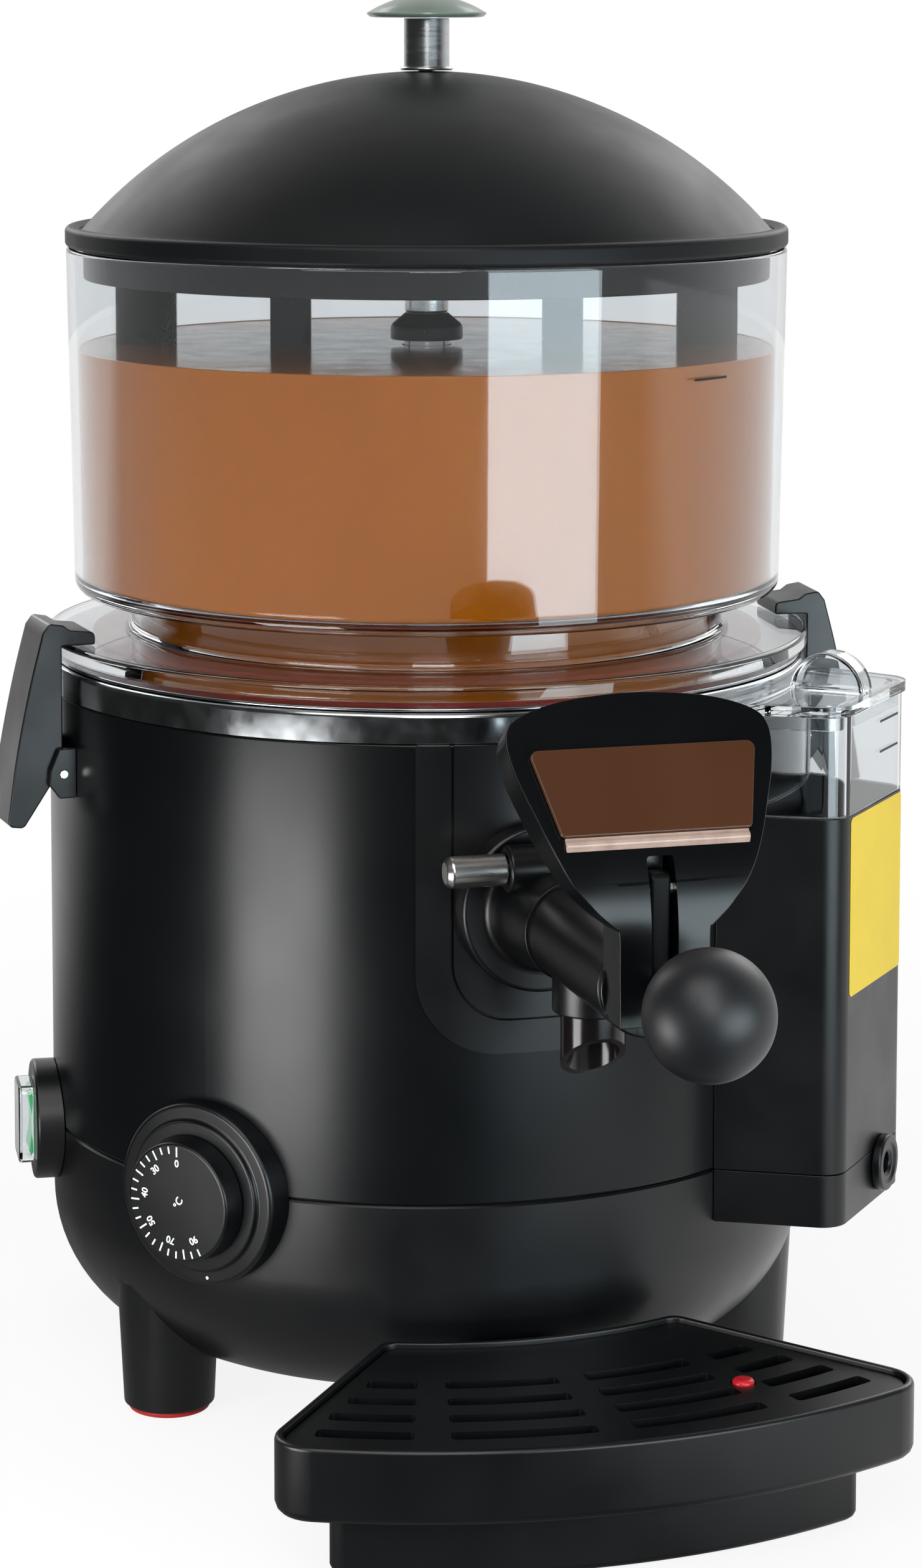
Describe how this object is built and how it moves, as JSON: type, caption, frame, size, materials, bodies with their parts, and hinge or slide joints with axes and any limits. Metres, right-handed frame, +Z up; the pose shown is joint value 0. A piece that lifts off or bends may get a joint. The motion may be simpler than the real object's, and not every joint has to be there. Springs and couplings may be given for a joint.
{
  "type": "hot chocolate dispenser",
  "caption": "Heated drink dispenser with a clear bowl, stirring paddle, domed lid, front tap with a ball lever, side water tank and a pull-out drip tray.",
  "frame": {"origin": "middle of the machine's bounding box, on the table under the feet", "axes": "+Z up, the tap points along -Y, the water tank is towards +X and the thermostat dial towards -X"},
  "size_m": [0.3066, 0.4586, 0.474],
  "materials": {
    "black_gloss_paint": "semi-gloss black paint",
    "black_moulding": "satin black moulding",
    "matte_black": "matte black moulding",
    "steel": "brushed stainless steel",
    "chrome": "polished chrome",
    "clear": "clear polycarbonate",
    "smoked": "dark translucent brown",
    "red_rubber": "dark red rubber",
    "black_rubber": "black rubber",
    "green_rocker": "translucent green",
    "red_float": "gloss red",
    "grey_green_cap": "satin grey-green",
    "badge_brown": "gloss brown",
    "bronze": "sintered bronze",
    "heater_sheath": "oxidised steel sheath",
    "motor_grey": "grey cast housing",
    "beige_body": "heat-proof beige"
  },
  "bodies": {
    "casing": {"body_shell": "black_gloss_paint", "base_moulding": "black_moulding", "foot_1": "red_rubber", "foot_2": "red_rubber", "foot_3": "red_rubber", "foot_4": "red_rubber", "bottom_plate": "steel", "bottom_screw_1": "steel", "bottom_screw_2": "steel", "bottom_screw_3": "steel", "cable_gland": "black_rubber", "bath_pan": "steel", "steel_well": "steel", "outlet_pipe": "steel", "bowl_gasket": "red_rubber", "bowl": "clear", "heater_ring": "heater_sheath", "motor_strap": "steel", "gearmotor": "motor_grey", "shaft_bush": "bronze", "tap_surround": "black_moulding", "tap_panel": "black_moulding", "tap_body": "black_moulding", "tap_spout": "smoked", "tap_head": "black_moulding", "lever_pivot": "steel", "badge": "badge_brown", "return_spring": "steel", "latch_bracket_left": "black_moulding", "latch_bracket_right": "black_moulding", "latch_pin_left": "steel", "latch_pin_right": "steel", "dial_ring": "black_moulding", "thermostat": "beige_body", "switch_bezel": "black_moulding", "switch_cover": "clear", "tank_housing": "black_moulding", "tank_base": "black_moulding", "tank_window": "clear"},
    "mixer": {"drive_shaft": "steel", "splash_collar": "matte_black", "mixer_paddle": "matte_black", "mixer_nut": "steel"},
    "lid": {"lid": "matte_black", "lid_stem": "steel", "lid_knob": "grey_green_cap"},
    "pin": {"tap_pin": "chrome"},
    "lever": {"tap_lever": "black_moulding", "lever_ball": "black_moulding"},
    "valve": {"valve_rod": "steel", "valve_seal": "red_rubber"},
    "left_latch": {"latch_left": "black_moulding"},
    "right_latch": {"latch_right": "black_moulding"},
    "dial": {"dial_knob": "black_moulding"},
    "switch": {"switch_rocker": "green_rocker"},
    "tank_cover": {"tank_lid": "clear"},
    "drain": {"drain_plug": "black_moulding"},
    "tray": {"drip_tray": "black_moulding"},
    "grate": {"drip_grate": "black_moulding"},
    "float": {"level_float": "red_float"}
  },
  "joints": [
    {"name": "mixer_spin", "type": "hinge", "parent": "casing", "child": "mixer", "pos_m": [0, 0.0847, 0.3], "axis": [0, 0, 1], "continuous": true},
    {"name": "lid_lift", "type": "slide", "parent": "casing", "child": "lid", "axis": [0, 0, 1], "range_m": [0, 0.1]},
    {"name": "lever_pull", "type": "hinge", "parent": "casing", "child": "lever", "pos_m": [0, -0.1655, 0.217], "axis": [-1, 0, 0], "range_deg": [0, 20], "stiffness_Nm_per_rad": 0.6, "springref_deg": -11.46},
    {"name": "valve_slide", "type": "slide", "parent": "casing", "child": "valve", "axis": [0, -1, 0], "range_m": [0, 0.008]},
    {"name": "pin_pull", "type": "slide", "parent": "casing", "child": "pin", "axis": [-1, 0, 0], "range_m": [0, 0.02]},
    {"name": "left_latch_swing", "type": "hinge", "parent": "casing", "child": "left_latch", "pos_m": [-0.13409, 0.07415, 0.2145], "axis": [0.0785, -0.9969, 0], "range_deg": [0, 35]},
    {"name": "right_latch_swing", "type": "hinge", "parent": "casing", "child": "right_latch", "pos_m": [0.13409, 0.07415, 0.2145], "axis": [0.0785, 0.9969, 0], "range_deg": [0, 35]},
    {"name": "dial_turn", "type": "hinge", "parent": "casing", "child": "dial", "pos_m": [-0.10785, -0.01072, 0.087], "axis": [-0.749, -0.6626, 0], "range_deg": [0, 210]},
    {"name": "switch_rock", "type": "hinge", "parent": "casing", "child": "switch", "pos_m": [-0.13548, 0.09655, 0.0865], "axis": [-0.0872, -0.9962, 0], "range_deg": [-7, 7]},
    {"name": "tank_cover_lift", "type": "slide", "parent": "casing", "child": "tank_cover", "axis": [0, 0, 1], "range_m": [0, 0.05]},
    {"name": "drain_turn", "type": "hinge", "parent": "casing", "child": "drain", "pos_m": [0.13119, -0.01741, 0.0825], "axis": [0.7547, -0.6561, 0], "range_deg": [0, 90]},
    {"name": "tray_pull", "type": "slide", "parent": "casing", "child": "tray", "axis": [0, -1, 0], "range_m": [0, 0.15]},
    {"name": "grate_lift", "type": "slide", "parent": "tray", "child": "grate", "axis": [0, 0, 1], "range_m": [0, 0.06]},
    {"name": "float_rise", "type": "slide", "parent": "tray", "child": "float", "axis": [0, 0, 1], "range_m": [0, 0.006]}
  ],
  "couplings": [
    {"joint": "valve_slide", "follows": "lever_pull", "m_per_rad": 0.0225}
  ]
}
